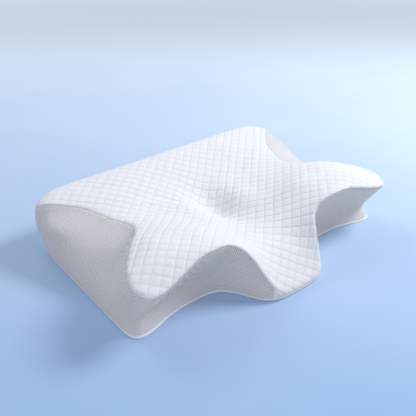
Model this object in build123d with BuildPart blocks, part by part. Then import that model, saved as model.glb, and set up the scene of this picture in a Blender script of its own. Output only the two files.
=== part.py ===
from build123d import *
import os
from math import hypot
import numpy as np

# Contoured butterfly neck pillow in a zipped cover.
# X is the width, -Y the front with the nose, +Y the straight back, Z up from the resting face.
# Millimetres. The soft parts are faceted sheets between two depths under the cover's surface.

# ---- cover and filling: depths are measured in from the outside of the cover --------------
QUILT_LAYERS = {                  # outer and inner depth of each layer of the quilted top
    "quilt_face": (0.0, 1.0),
    "quilt_wadding": (1.5, 4.4),
    "quilt_backing": (4.9, 5.5),
}
MESH_THICK = 3.2                  # side panels
LINER_OUTER, LINER_INNER = 7.4, 8.0
FOAM_DEPTH = 12.6
BOTTOM_THICK = 1.8
BOTTOM_GAP = 1.6                  # between the binding and the bottom cloth
BINDING_THICK, BINDING_HEIGHT = 1.8, 5.0
LINER_FLOOR = BOTTOM_THICK + 0.6  # underside of the liner's base
LINER_BASE_GAP = 0.6              # between the liner's wall and its base, in plan
LINER_EDGE = LINER_FLOOR + 4.4    # lower edge of the liner's wall
FOAM_BASE = LINER_FLOOR + 1.4
PANEL_BOTTOM = 5.5                # lower edge of the quilted wrap and of the side panels
SEAM_DROP = 4.0                   # quilted top rolls this far over the rim, along the wall
SEAM_GAP = 2.2
CORNER_X = 296.0                  # back corner seams
NOSE_X = 57.0                     # nose seams

# ---- zip: heights along zip_plane's normal, from the cover surface outwards ----------------
OPENING_HALF = 236.0              # half length of the opening in the cover
BAY_HALF = 14.8                   # half width of the opening, along the slope
ZIP_Z = 16.2                      # height of the middle of the zip
BACK_RUN, BACK_RISE = 13.5, 12.0  # slope of the foot of the back
TAPE_THICK, TAPE_TOP = 0.6, -2.2
TAPE_LENGTH = 2 * OPENING_HALF - 1.0
TAPE_NEAR = 1.7                   # inner edge of each tape, from the zip's middle
TAPE_FAR_UPPER, TAPE_FAR_LOWER = 11.0, 14.0
COIL_HALF, COIL_PITCH = 222.0, 2.5
COIL_BASE, COIL_HEIGHT = TAPE_TOP + 0.1, 2.0
SLIDER_X = -215.0                 # closed end
LUG_BASE, LUG_THICK = 1.3, 0.8
PIN_RADIUS, PIN_CLEARANCE = 0.8, 0.05
PIN_HEIGHT, PIN_LENGTH = 3.9, 4.4
EYE_RADIUS, EYE_LENGTH = 1.8, 3.6
PULL_LENGTH, PULL_THICK = 17.0, 1.2
PULL_START = 3.6                  # from the pin to the wide part of the tab
LABEL_X, LABEL_WIDTH, LABEL_LENGTH = 262, 20, 28

# ---- outline of the pillow, left half, from the middle of the back round to the nose -------
# One row per station, one (x, y) per height in Z_LEVELS.
Z_LEVELS = [0.0, 12.0, 24.0, 36.0, 60.0, 85.0, 100.0, 112.0, 130.0]
BACK_Y = [150.0, 163.5, 177.0, 190.0, 206.0, 210.0, 206.0, 200.0, 190.0]  # same at every BACK_X
BACK_X = [0.0, -60.0, -120.0, -180.0, -238.0]
CORNER = [
    [(-276, 149), (-276, 162.4), (-276, 175.5), (-276, 187.8), (-276, 202.5),
     (-275, 205), (-273, 199), (-268, 189), (-258, 176)],
    [(-299, 143.5), (-300, 156.5), (-301, 169), (-301.5, 180), (-302, 192),
     (-300.5, 190), (-297.5, 179), (-287, 165), (-270, 150)],
    [(-306, 126), (-307, 136), (-307.6, 146), (-308, 155), (-308.4, 163),
     (-307, 158), (-297, 150), (-270, 142), (-240, 132)],
]
END = [
    [(-307, 100), (-307.6, 102), (-308, 104), (-308.4, 106), (-308.4, 108),
     (-300, 108), (-256, 108), (-228, 106), (-196, 100)],
    [(-307.5, 60), (-308, 61), (-308.4, 62), (-308.4, 63), (-304, 65),
     (-268, 66), (-223, 66), (-197, 64), (-166, 60)],
    [(-308, 18), (-308.4, 18), (-308, 18), (-306, 19), (-291, 20),
     (-246, 21), (-207, 22), (-189, 22), (-164, 22)],
    [(-308.5, -24), (-308.5, -24), (-307, -23), (-303, -23), (-281, -22),
     (-244, -21), (-213, -20), (-199, -19), (-182, -18)],
]
WING = [
    [(-309, -64), (-309, -64), (-306, -63), (-301, -62), (-283, -61),
     (-258, -60), (-242, -59), (-233, -58), (-226, -56)],
    [(-310, -102), (-309, -101), (-306, -100), (-303, -100), (-295, -99),
     (-281, -98), (-272, -98), (-267, -97), (-263, -96)],
    [(-310, -136), (-306.5, -131), (-302.5, -127), (-301, -128), (-299, -131),
     (-296, -133), (-294, -134), (-293, -135), (-291, -135)],
    [(-306, -157), (-301, -150), (-297, -145), (-297, -149), (-299, -158),
     (-302, -167), (-303, -172), (-304, -175), (-304, -177)],
    [(-297, -165.5), (-292, -158), (-288, -152), (-287, -156), (-289, -171),
     (-292, -186), (-294, -194), (-295, -198), (-295, -201)],
    [(-280, -167), (-276, -158.5), (-273, -151.5), (-272, -154), (-273, -171),
     (-275, -189), (-277, -199), (-278, -204), (-278, -207)],
]
FRONT = [
    [(-255, -161.5), (-253, -154), (-251, -147.5), (-250, -149), (-250, -165),
     (-251, -183), (-252, -194), (-253, -199), (-253, -202)],
    [(-222, -152), (-221, -146), (-221, -141), (-220, -142), (-220, -156),
     (-220, -173), (-221, -184), (-221, -190), (-221, -193)],
    [(-185, -148), (-185, -143), (-185, -139), (-185, -140), (-185, -151),
     (-185, -166), (-185, -176), (-185, -181), (-185, -186)],
    [(-148, -148.5), (-148, -144.5), (-148, -141), (-148, -142), (-148, -152),
     (-147, -166), (-146, -175), (-145, -180), (-145, -185)],
    [(-120, -157), (-120, -153), (-120, -150), (-119, -151), (-117, -158),
     (-115, -168), (-112, -174), (-110, -178), (-110, -182)],
]
NOSE = [
    [(-104, -173), (-104, -169.5), (-104, -167), (-103, -168), (-101, -172.5),
     (-97, -178.5), (-93, -183), (-90, -186), (-87, -190)],
    [(-93, -192), (-93, -189.5), (-93, -188), (-92, -188), (-88.5, -190),
     (-84.5, -193), (-81, -197), (-78, -200), (-75, -204)],
    [(-83.5, -211), (-83.5, -208.5), (-82, -207), (-80.5, -206), (-76, -207),
     (-72.5, -212), (-70, -216), (-68, -219), (-66, -222)],
    [(-72, -227), (-71, -226), (-68, -226), (-66, -226), (-63, -229),
     (-61, -233), (-60, -236), (-59, -238), (-58, -240)],
    [(-55, -238), (-55, -239), (-54, -240), (-53, -241), (-51, -242),
     (-50, -244), (-50, -245), (-49, -246), (-49, -247)],
    [(-28, -243), (-28, -244.5), (-28, -245.5), (-28, -246), (-28, -247),
     (-28, -248), (-28, -249), (-28, -250), (-28, -251)],
    [(0, -244), (0, -245.5), (0, -246.5), (0, -247), (0, -248),
     (0, -249), (0, -250), (0, -251), (0, -252)],
]
BACK = [[(x, y) for y in BACK_Y] for x in BACK_X]
STATIONS = BACK + CORNER + END + WING + FRONT + NOSE

# whole outline, anticlockwise seen from above, indexed by level, station, (x, y)
LEFT_HALF = np.array(STATIONS, float).transpose(1, 0, 2)
RINGS = np.concatenate([LEFT_HALF, LEFT_HALF[:, -2:0:-1] * (-1, 1)], axis=1)

# ---- height of the top: right half, a row per TOP_Y from back to nose, a column per TOP_X ---
TOP_X = np.array([0.0, 45.0, 90.0, 135.0, 180.0, 225.0, 270.0, 315.0])
TOP_Y = np.array([235.0, 205.0, 180.0, 150.0, 110.0, 70.0, 30.0, -10.0,
                  -50.0, -90.0, -130.0, -165.0, -195.0, -220.0, -245.0, -270.0])
TOP_Z = np.array([
    [48, 48, 48, 48, 48, 47, 42, 30],
    [103, 103, 103, 103, 103, 102.5, 98, 80],
    [114, 114, 114, 114, 114, 113, 109, 92],
    [110, 110, 111, 112, 112.5, 112, 109.5, 103],
    [97, 98, 102, 106, 108, 107, 103, 98],
    [77, 84, 90, 96, 101, 101, 97, 92],
    [52, 73, 83, 91, 98, 100.5, 98, 94],
    [45, 73, 84, 94, 103, 108, 106, 100],
    [57, 74, 87, 101, 112, 114, 107, 96],
    [66, 76, 94, 113, 122, 125, 113, 98],
    [69, 77, 98, 118, 124.5, 126, 118, 104],
    [65, 73, 99, 120, 125.5, 122, 114, 103],
    [52, 58, 91, 122, 120, 110.5, 102, 97],
    [33, 38, 66, 112, 112, 101, 92, 88],
    [13, 14, 40, 94, 100, 90, 80, 76],
    [-8, -7, 14, 72, 84, 76, 66, 62],
])
GRID_X = np.concatenate([-TOP_X[:0:-1], TOP_X])
GRID_Y = TOP_Y[::-1]
GRID_Z = np.hstack([TOP_Z[:, :0:-1], TOP_Z])[::-1]

CROWN = np.array([0.0, -20.0])    # plan point the rows of the top spread from
CROWN_FRACTIONS = [0.0, 0.2, 0.38, 0.54, 0.68, 0.79, 0.88, 0.95]  # of the way to the rim
SIDE_FRACTIONS = (0.82, 0.64, 0.46, 0.28, 0.12)                   # of the side panel's height
STATION_STEP = 24.0               # longest gap between facet columns
MARK_TOLERANCE = 1e-3


# ---- surface of the pillow ------------------------------------------------------------------
def spline_weights(nodes, query, closed=False):
    """Weights, one row per query, of a cubic spline through values held at the nodes.

    An open spline has natural ends. In a closed one the last node repeats the first."""
    nodes, query = np.asarray(nodes, float), np.asarray(query, float)
    spans = np.diff(nodes)
    count = len(spans) if closed else len(nodes)
    system = np.zeros((count, count)) if closed else np.eye(count)
    load = np.zeros((count, count))
    for i in range(count) if closed else range(1, count - 1):
        before, after = (i - 1) % count, (i + 1) % count
        behind, ahead = spans[before], spans[i]
        system[i, [before, i, after]] = behind, 2 * (behind + ahead), ahead
        load[i, [before, i, after]] = 6 / behind, -6 / behind - 6 / ahead, 6 / ahead
    bend = np.linalg.solve(system, load)
    if closed:
        query = query % nodes[-1]
    left = np.clip(np.searchsorted(nodes, query, side="right") - 1, 0, len(spans) - 1)
    right = (left + 1) % count
    span = spans[left]
    unit = np.eye(count)

    def share(near, gap):
        cubic = gap ** 3 / (6 * span) - span * gap / 6
        return unit[near] * (gap / span)[:, None] + bend[near] * cubic[:, None]

    return share(left, nodes[left + 1] - query) + share(right, query - nodes[left])


# a place round the outline is given as "along": the distance from the middle of the back,
# anticlockwise at mid height
MID_RING = RINGS[Z_LEVELS.index(60.0)]
STEPS = np.linalg.norm(np.roll(MID_RING, -1, 0) - MID_RING, axis=1)
ALONG_NODES = np.concatenate([[0.0], np.cumsum(STEPS)])
ALL_ROUND = ALONG_NODES[-1]


def wall(along, z, depth):
    """Points of the wall, moved in to this depth square to it, and the plan stretch used."""
    along, z = np.broadcast_arrays(np.asarray(along, float), np.asarray(z, float))
    shape = along.shape
    along, z = along.ravel(), z.ravel()

    def at(offset):
        return spline_weights(ALONG_NODES, along + offset, closed=True)

    def level(offset):
        return spline_weights(Z_LEVELS, z + offset)

    def blend(station_weights, level_weights):
        return np.einsum("qs,ql,lsc->qc", station_weights, level_weights, RINGS)

    here, height = at(0.0), level(0.0)
    points = blend(here, height)
    tangent = blend(at(0.5) - at(-0.5), height)
    rise = blend(here, level(0.5) - level(-0.5))
    tangent /= np.linalg.norm(tangent, axis=1)[:, None]
    inward = np.stack([-tangent[:, 1], tangent[:, 0]], 1)
    stretch = np.minimum(np.sqrt(1 + (rise * inward).sum(1) ** 2), 3.0)
    points = points + inward * (depth * stretch)[:, None]
    return points.reshape(shape + (2,)), stretch.reshape(shape)


def top_height(x, y):
    return np.einsum("qx,qy,yx->q", spline_weights(GRID_X, x), spline_weights(GRID_Y, y), GRID_Z)


def top(x, y, depth):
    """Height of the top at plan points, lowered so that the layer above is depth thick."""
    z = top_height(x, y)
    if depth:
        slope_x = (top_height(x + 1, y) - top_height(x - 1, y)) / 2
        slope_y = (top_height(x, y + 1) - top_height(x, y - 1)) / 2
        z = z - depth * np.minimum(np.sqrt(1 + slope_x ** 2 + slope_y ** 2), 2.0)
    return z


def rim(along, depth):
    """Height at which the wall meets the top, found by bisection."""
    low, high = np.zeros_like(along), np.full_like(along, Z_LEVELS[-1])
    for _ in range(26):
        middle = (low + high) / 2
        points = wall(along, middle, depth)[0]
        under = top(points[:, 0], points[:, 1], depth) > middle
        low, high = np.where(under, middle, low), np.where(under, high, middle)
    return (low + high) / 2


def skin(along, depth, rows, crown=CROWN_FRACTIONS):
    """Grid of points, station by row: from the crown out to the rim, then down the wall.

    rows(rim height, stretch, along) gives the heights below the rim."""
    along = np.asarray(along, float)
    rim_height = rim(along, depth)
    edge, stretch = wall(along, rim_height, depth)
    columns = []
    for fraction in crown:
        plan = CROWN + (edge - CROWN) * fraction
        columns.append(np.column_stack([plan, top(plan[:, 0], plan[:, 1], depth)]))
    columns.append(np.column_stack([edge, rim_height]))
    for z in rows(rim_height, stretch, along):
        columns.append(np.column_stack([wall(along, z, depth)[0], z]))
    return np.stack(columns, 1)


# ---- faceted solids -------------------------------------------------------------------------
def facet(faces, *points):
    """Adds a flat facet, leaving out points that coincide."""
    clean = [p for k, p in enumerate(points) if np.linalg.norm(p - points[k - 1]) > 1e-6]
    if len(clean) > 2:
        corners = [Vector(*map(float, p)) for p in clean]
        faces.append(Face(Wire.make_polygon(corners, close=True)))


def sheet(outside, inside, closed, keep):
    """Solid sheet of flat facets between two matching grids. keep(i, j) says which cells it covers.

    closed joins the last station to the first. Row 0 may be a single pole point."""
    count, rows = outside.shape[:2]
    cells = {(i, j) for i in range(count if closed else count - 1)
             for j in range(rows - 1) if keep(i, j)}
    faces = []

    def quad(a, b, c, d):
        facet(faces, a, b, c)
        facet(faces, a, c, d)

    for i, j in cells:
        k = (i + 1) % count
        before = (i - 1) % count if closed else i - 1
        after = k if closed else i + 1
        quad(outside[i, j], outside[k, j], outside[k, j + 1], outside[i, j + 1])
        quad(inside[i, j], inside[i, j + 1], inside[k, j + 1], inside[k, j])
        # edges of the sheet
        if (before, j) not in cells:
            quad(outside[i, j], outside[i, j + 1], inside[i, j + 1], inside[i, j])
        if (after, j) not in cells:
            quad(outside[k, j + 1], outside[k, j], inside[k, j], inside[k, j + 1])
        if (i, j + 1) not in cells:
            quad(outside[i, j + 1], outside[k, j + 1], inside[k, j + 1], inside[i, j + 1])
        if (i, j - 1) not in cells:
            quad(outside[k, j], outside[i, j], inside[i, j], inside[k, j])
    return Solid(Shell(faces))


# ---- seams, as distances along the outline --------------------------------------------------
def along_at(x, start, end):
    """Distance along, between two others, at which the mid-height wall has this x."""
    along = np.linspace(start, end, 2001)
    points = wall(along, 60.0, 0.0)[0]
    return float(along[np.argmin(abs(points[:, 0] - x))])


NOSE_MIDDLE = ALONG_NODES[len(STATIONS) - 1]
BAY_END = along_at(-OPENING_HALF, 0.0, 280.0)
CORNER_SEAM = along_at(-CORNER_X, BAY_END, 340.0)
NOSE_SEAM = along_at(-NOSE_X, NOSE_MIDDLE - 110.0, NOSE_MIDDLE)
LEFT_MARKS = [0.0, BAY_END, CORNER_SEAM, NOSE_SEAM, NOSE_MIDDLE]
MARKS = LEFT_MARKS + [ALL_ROUND - mark for mark in LEFT_MARKS[-2::-1]]

# facet columns: they pass through every mark
LOOP = []
for start, end in zip(MARKS[:-1], MARKS[1:]):
    pieces = max(1, int(np.ceil((end - start) / STATION_STEP)))
    LOOP += [start + (end - start) * i / pieces for i in range(pieces)]


def on_back(along):
    return ((along < CORNER_SEAM + MARK_TOLERANCE)
            | (along > ALL_ROUND - CORNER_SEAM - MARK_TOLERANCE))


def on_nose(along):
    return ((along > NOSE_SEAM - MARK_TOLERANCE)
            & (along < ALL_ROUND - NOSE_SEAM + MARK_TOLERANCE))


def on_bay(along):
    return (along < BAY_END) | (along > ALL_ROUND - BAY_END)


# ---- rows of facets down the wall -----------------------------------------------------------
SLOPE = hypot(BACK_RUN, BACK_RISE)
SLOPE_Y, SLOPE_Z = BACK_RUN / SLOPE, BACK_RISE / SLOPE
BAY_TOP = ZIP_Z + BAY_HALF * SLOPE_Z


def between(low, high, fractions):
    return [low + (high - low) * fraction for fraction in fractions]


def wrap_rows(rim_height, stretch, along):
    """From the rolled edge down to the top of the zip's bay, or to a quarter height elsewhere."""
    first = rim_height - SEAM_DROP / stretch
    low = np.where(on_back(along), BAY_TOP, PANEL_BOTTOM + (first - PANEL_BOTTOM) * 0.25)
    return [first, *between(low, first, (0.66, 0.33)), low]


def quilt_rows(rim_height, stretch, along):
    bottom = np.full_like(rim_height, PANEL_BOTTOM)
    return wrap_rows(rim_height, stretch, along) + [bottom]


def side_rows(rim_height, stretch, along):
    first = rim_height - (SEAM_DROP + SEAM_GAP) / stretch
    return [first] + between(PANEL_BOTTOM, first, (*SIDE_FRACTIONS, 0.0))


def inner_rows(rim_height, stretch, along):
    """Heights inside the cover, level with the facets of the cover outside them."""
    first, *down = wrap_rows(rim_height, stretch, along)
    down += between(LINER_EDGE, down[-1], (0.66, 0.33))
    side = between(PANEL_BOTTOM, first, SIDE_FRACTIONS)
    wrapped = on_back(along) | on_nose(along)
    rows = [np.where(wrapped, a, b) for a, b in zip(down, side)]
    return [first] + rows + [np.full_like(rim_height, LINER_EDGE)]


def foam_rows(rim_height, stretch, along):
    return inner_rows(rim_height, stretch, along) + [np.full_like(rim_height, FOAM_BASE)]


# ---- cover, liner and foam ------------------------------------------------------------------
def soft_part(solid):
    with BuildPart() as piece:
        add(solid)
    return piece.part


def everywhere(i, j):
    return True


def quilt_layer(outer, inner):
    """The crown, the rolled rim, the wrap down the back round the zip's bay, and the nose."""
    bay_row = len(CROWN_FRACTIONS) + 4
    ends = LOOP[1:] + [ALL_ROUND]
    middles = [(a + b) / 2 for a, b in zip(LOOP, ends)]

    def keep(i, j):
        if j <= len(CROWN_FRACTIONS) or on_nose(middles[i]):
            return True
        return on_back(middles[i]) and not (j == bay_row and on_bay(middles[i]))

    return soft_part(sheet(skin(LOOP, outer, quilt_rows), skin(LOOP, inner, quilt_rows),
                           True, keep))


def side_panel(start, end):
    along = [start] + [v for v in LOOP if start + 1.0 < v < end - 1.0] + [end]
    outside, inside = (skin(along, depth, side_rows, []) for depth in (0.0, MESH_THICK))
    # row 0 is the rim, which the quilted top covers
    return soft_part(sheet(outside, inside, False, lambda i, j: j > 0))


def base_binding():
    rows = [np.full(len(LOOP), z) for z in (BINDING_HEIGHT, BINDING_HEIGHT / 2, 0.0)]
    outside, inside = (
        np.stack([np.column_stack([wall(LOOP, z, depth)[0], z]) for z in rows], 1)
        for depth in (0.0, BINDING_THICK))
    return soft_part(sheet(outside, inside, True, everywhere))


def flat_base(z, depth, thick):
    """Flat cloth inside the outline at one height."""
    with BuildPart() as piece:
        with BuildSketch(Plane.XY.offset(z)):
            with BuildLine():
                Polyline(*[tuple(map(float, p)) for p in wall(LOOP, z, depth)[0]], close=True)
            make_face()
        extrude(amount=thick)
    return piece.part


def liner_top():
    return soft_part(sheet(skin(LOOP, LINER_OUTER, inner_rows),
                           skin(LOOP, LINER_INNER, inner_rows), True, everywhere))


def foam_core():
    """The moulding: a closed skin of facets with a flat base."""
    grid = skin(LOOP, FOAM_DEPTH, foam_rows)
    count, rows = grid.shape[:2]
    base_middle = np.array([*CROWN, grid[0, -1, 2]])
    faces = []
    for i in range(count):
        k = (i + 1) % count
        for j in range(rows - 1):
            facet(faces, grid[i, j], grid[k, j], grid[k, j + 1])
            facet(faces, grid[i, j], grid[k, j + 1], grid[i, j + 1])
        facet(faces, base_middle, grid[i, -1], grid[k, -1])
    return soft_part(Solid(Shell(faces)))


# ---- zip ------------------------------------------------------------------------------------
# It lies on the sloping foot of the back. The plane's y runs down the slope, its normal out.
ZIP_Y = BACK_Y[0] + BACK_RUN / BACK_RISE * ZIP_Z
zip_plane = Plane(origin=(0, ZIP_Y, ZIP_Z), x_dir=(1, 0, 0), z_dir=(0, SLOPE_Z, -SLOPE_Y))
UPPER, LOWER = -1, 1              # sides of the zip, as signs of the plane's y


def across_plane(across, height):
    """Plane at the slider that faces down the slope. Its y points into the cover."""
    origin = zip_plane.from_local_coords((SLIDER_X, across, height))
    return Plane(origin=origin, x_dir=zip_plane.x_dir, z_dir=zip_plane.y_dir)


def zip_tape(side, far):
    with BuildPart() as piece:
        with BuildSketch(zip_plane.offset(TAPE_TOP - TAPE_THICK)):
            with Locations((0, side * (TAPE_NEAR + far) / 2)):
                Rectangle(TAPE_LENGTH, far - TAPE_NEAR)
        extrude(amount=TAPE_THICK)
    return piece.part


def zip_coil(side):
    """One row of the coil: a spine with teeth that point to the middle of the zip."""
    with BuildPart() as piece:
        with BuildSketch(zip_plane.offset(COIL_BASE)):
            with Locations((0, side * 2.6)):
                Rectangle(2 * COIL_HALF, 0.8)
            # the two rows are half a pitch apart, so that the teeth interleave
            with Locations((side * COIL_PITCH / 4, side * 1.55)):
                with GridLocations(COIL_PITCH, 1, int(2 * COIL_HALF / COIL_PITCH) - 1, 1):
                    Rectangle(1.3, 1.5)
        extrude(amount=COIL_HEIGHT)
    return soft_part(piece.part)


def zip_stops(places, length, width, radius):
    with BuildPart() as piece:
        with BuildSketch(zip_plane.offset(COIL_BASE)):
            with Locations(*places):
                RectangleRounded(length, width, radius)
        extrude(amount=COIL_HEIGHT)
    return piece.part


def slider_wing(half):
    """Outline of a wing, narrower at its +X end."""
    right = [(SLIDER_X + 6, half - 0.7), (SLIDER_X + 2, half), (SLIDER_X - 6, half)]
    return right + [(x, -y) for x, y in reversed(right)]


def zip_slider():
    with BuildPart() as slider:
        # outer wing with rounded corners
        outer_thick = 1.2
        with BuildSketch(zip_plane.offset(0.3)):
            with BuildLine():
                Polyline(*slider_wing(4.6), close=True)
            make_face()
        extrude(amount=outer_thick)
        upright = slider.edges().filter_by(lambda e: abs(e.length - outer_thick) < 1e-3)
        fillet(upright, radius=0.8)
        # inner wing
        with BuildSketch(zip_plane.offset(-4.2)):
            with BuildLine():
                Polyline(*slider_wing(4.4), close=True)
            make_face()
        extrude(amount=1.0)
        # post that joins the wings
        with BuildSketch(zip_plane.offset(-3.3)):
            with Locations((SLIDER_X - 3.6, 0)):
                RectangleRounded(3.4, 1.1, 0.4)
        extrude(amount=3.7)
        # side flanges
        with BuildSketch(zip_plane.offset(-1.8)):
            with Locations((SLIDER_X - 1.6, 3.9), (SLIDER_X - 1.6, -3.9)):
                Rectangle(7.6, 0.8)
        extrude(amount=2.2)
        # two lugs, and the pin between them
        lug_top = PIN_HEIGHT + 1.4
        for across in (2.1, -2.1 - LUG_THICK):
            with BuildSketch(across_plane(across, 0)):
                with BuildLine():
                    Polyline((-3.0, -LUG_BASE), (-1.7, -PIN_HEIGHT), (-1.2, -lug_top),
                             (1.2, -lug_top), (1.7, -PIN_HEIGHT), (3.0, -LUG_BASE), close=True)
                make_face()
            extrude(amount=LUG_THICK)
        with BuildSketch(across_plane(-PIN_LENGTH / 2, PIN_HEIGHT)):
            Circle(PIN_RADIUS)
        extrude(amount=PIN_LENGTH)
    return slider.part


def zip_pull_tab():
    """An eye on the slider's pin and a flat tab with a slot."""
    wide = PULL_LENGTH - PULL_START
    with BuildPart() as pull:
        with BuildSketch(across_plane(-EYE_LENGTH / 2, PIN_HEIGHT)):
            Circle(EYE_RADIUS)
        extrude(amount=EYE_LENGTH)
        with BuildSketch(zip_plane.offset(PIN_HEIGHT - PULL_THICK / 2)):
            with Locations((SLIDER_X + 2.2, 0)):
                Rectangle(3.6, 3.2)
            with Locations((SLIDER_X + PULL_START + wide / 2, 0)):
                RectangleRounded(wide, 6.0, 1.4)
            with Locations((SLIDER_X + PULL_LENGTH - 4.4, 0)):
                SlotOverall(4.6, 2.0, mode=Mode.SUBTRACT)
        extrude(amount=PULL_THICK)
        # bore for the pin, longer than the eye
        with BuildSketch(across_plane(-3.0, PIN_HEIGHT)):
            Circle(PIN_RADIUS + PIN_CLEARANCE)
        extrude(amount=6.0, mode=Mode.SUBTRACT)
    return pull.part


def care_label():
    """A blank loop over the foot of the back: two leaves joined by a fold at the upper end."""
    with BuildPart() as label:
        # height, middle down the slope, length down the slope, thickness
        for height, middle, length, thick in (
            (1.2, 1.0, LABEL_LENGTH, 0.3),
            (1.5, -12.6, 0.8, 0.4),
            (1.9, 1.0, LABEL_LENGTH, 0.3),
        ):
            with BuildSketch(zip_plane.offset(height)):
                with Locations((LABEL_X, middle)):
                    Rectangle(LABEL_WIDTH, length)
            extrude(amount=thick)
    return label.part


# ---- write ----------------------------------------------------------------------------------
LEFT_PANEL = (CORNER_SEAM + SEAM_GAP, NOSE_SEAM - SEAM_GAP)
RIGHT_PANEL = (ALL_ROUND - NOSE_SEAM + SEAM_GAP, ALL_ROUND - CORNER_SEAM - SEAM_GAP)
TOP_STOPS = [(-COIL_HALF - 2.6, 2.1), (-COIL_HALF - 2.6, -2.1)]
PARTS = {name: quilt_layer(*depths) for name, depths in QUILT_LAYERS.items()}
PARTS |= {
    "side_panel_left": side_panel(*LEFT_PANEL),
    "side_panel_right": side_panel(*RIGHT_PANEL),
    "base_binding": base_binding(),
    "bottom_panel": flat_base(0.0, BINDING_THICK + BOTTOM_GAP, BOTTOM_THICK),
    "liner_top": liner_top(),
    "liner_bottom": flat_base(LINER_FLOOR, LINER_OUTER + LINER_BASE_GAP,
                              LINER_INNER - LINER_OUTER),
    "foam_core": foam_core(),
    "zip_tape_upper": zip_tape(UPPER, TAPE_FAR_UPPER),
    "zip_tape_lower": zip_tape(LOWER, TAPE_FAR_LOWER),
    "zip_coil_upper": zip_coil(UPPER),
    "zip_coil_lower": zip_coil(LOWER),
    "zip_top_stops": zip_stops(TOP_STOPS, 3.0, 2.6, 0.5),
    "zip_bottom_stop": zip_stops([(COIL_HALF + 2.8, 0)], 3.6, 6.4, 0.6),
    "zip_slider": zip_slider(),
    "zip_pull_tab": zip_pull_tab(),
    "care_label": care_label(),
}
os.makedirs("parts", exist_ok=True)
for name, part in PARTS.items():
    part.label = name
    export_step(part, f"parts/{name}.step")
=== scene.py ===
"""A contoured foam pillow in a zipped cover, resting on a pale floor.

X runs along the width, and the shape mirrors about x = 0. The back, with the zip at its foot,
faces +Y and the narrow nose faces -Y. The underside lies at z = 0. Lengths are millimetres
unless a comment says metres; meshes are scaled to metres when they are made.
"""

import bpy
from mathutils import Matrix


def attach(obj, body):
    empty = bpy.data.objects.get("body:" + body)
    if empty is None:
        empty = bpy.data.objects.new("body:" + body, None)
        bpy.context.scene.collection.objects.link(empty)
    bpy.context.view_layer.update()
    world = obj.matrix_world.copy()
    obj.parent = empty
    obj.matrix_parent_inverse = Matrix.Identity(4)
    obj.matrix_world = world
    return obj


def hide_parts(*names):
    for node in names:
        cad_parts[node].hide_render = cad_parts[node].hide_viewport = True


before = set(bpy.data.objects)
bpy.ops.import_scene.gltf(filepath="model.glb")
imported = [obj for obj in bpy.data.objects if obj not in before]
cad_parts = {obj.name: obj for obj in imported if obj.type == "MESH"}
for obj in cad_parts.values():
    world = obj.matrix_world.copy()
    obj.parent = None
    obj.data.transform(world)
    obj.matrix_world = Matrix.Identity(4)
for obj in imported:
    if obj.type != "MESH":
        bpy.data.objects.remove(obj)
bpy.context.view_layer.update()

import math
import bpy
import bmesh
import numpy as np
from mathutils import Matrix, Vector

MM = 0.001
TURN = 2 * math.pi

# ===================================== measured shape ======================================
# The outline is given at nine heights. Stations run from the middle of the back, round the
# left (-X) end, to the middle of the nose. Each station lists (x, y) at every height.
Z_LEVELS = [0.0, 12.0, 24.0, 36.0, 60.0, 85.0, 100.0, 112.0, 130.0]
MID_LEVEL = 4
BACK_Y = [150.0, 163.5, 177.0, 190.0, 206.0, 210.0, 206.0, 200.0, 190.0]
BACK_X = [0.0, -60.0, -120.0, -180.0, -238.0]
CORNER = [
    [(-276, 149.0), (-276, 162.4), (-276, 175.5), (-276, 187.8), (-276, 202.5),
     (-275, 205.0), (-273, 199.0), (-268, 189.0), (-258, 176.0)],
    [(-299, 143.5), (-300, 156.5), (-301, 169.0), (-301.5, 180.0), (-302, 192.0),
     (-300.5, 190.0), (-297.5, 179.0), (-287, 165.0), (-270, 150.0)],
    [(-306, 126.0), (-307, 136.0), (-307.6, 146.0), (-308, 155.0), (-308.4, 163.0),
     (-307, 158.0), (-297, 150.0), (-270, 142.0), (-240, 132.0)],
]
END = [
    [(-307, 100), (-307.6, 102), (-308, 104), (-308.4, 106), (-308.4, 108),
     (-300, 108), (-256, 108), (-228, 106), (-196, 100)],
    [(-307.5, 60), (-308, 61), (-308.4, 62), (-308.4, 63), (-304, 65),
     (-268, 66), (-223, 66), (-197, 64), (-166, 60)],
    [(-308, 18), (-308.4, 18), (-308, 18), (-306, 19), (-291, 20),
     (-246, 21), (-207, 22), (-189, 22), (-164, 22)],
    [(-308.5, -24), (-308.5, -24), (-307, -23), (-303, -23), (-281, -22),
     (-244, -21), (-213, -20), (-199, -19), (-182, -18)],
]
WING = [
    [(-309, -64), (-309, -64), (-306, -63), (-301, -62), (-283, -61),
     (-258, -60), (-242, -59), (-233, -58), (-226, -56)],
    [(-310, -102), (-309, -101), (-306, -100), (-303, -100), (-295, -99),
     (-281, -98), (-272, -98), (-267, -97), (-263, -96)],
    [(-310, -136), (-306.5, -131), (-302.5, -127), (-301, -128), (-299, -131),
     (-296, -133), (-294, -134), (-293, -135), (-291, -135)],
    [(-306, -157), (-301, -150), (-297, -145), (-297, -149), (-299, -158),
     (-302, -167), (-303, -172), (-304, -175), (-304, -177)],
    [(-297, -165.5), (-292, -158), (-288, -152), (-287, -156), (-289, -171),
     (-292, -186), (-294, -194), (-295, -198), (-295, -201)],
    [(-280, -167), (-276, -158.5), (-273, -151.5), (-272, -154), (-273, -171),
     (-275, -189), (-277, -199), (-278, -204), (-278, -207)],
]
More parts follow.
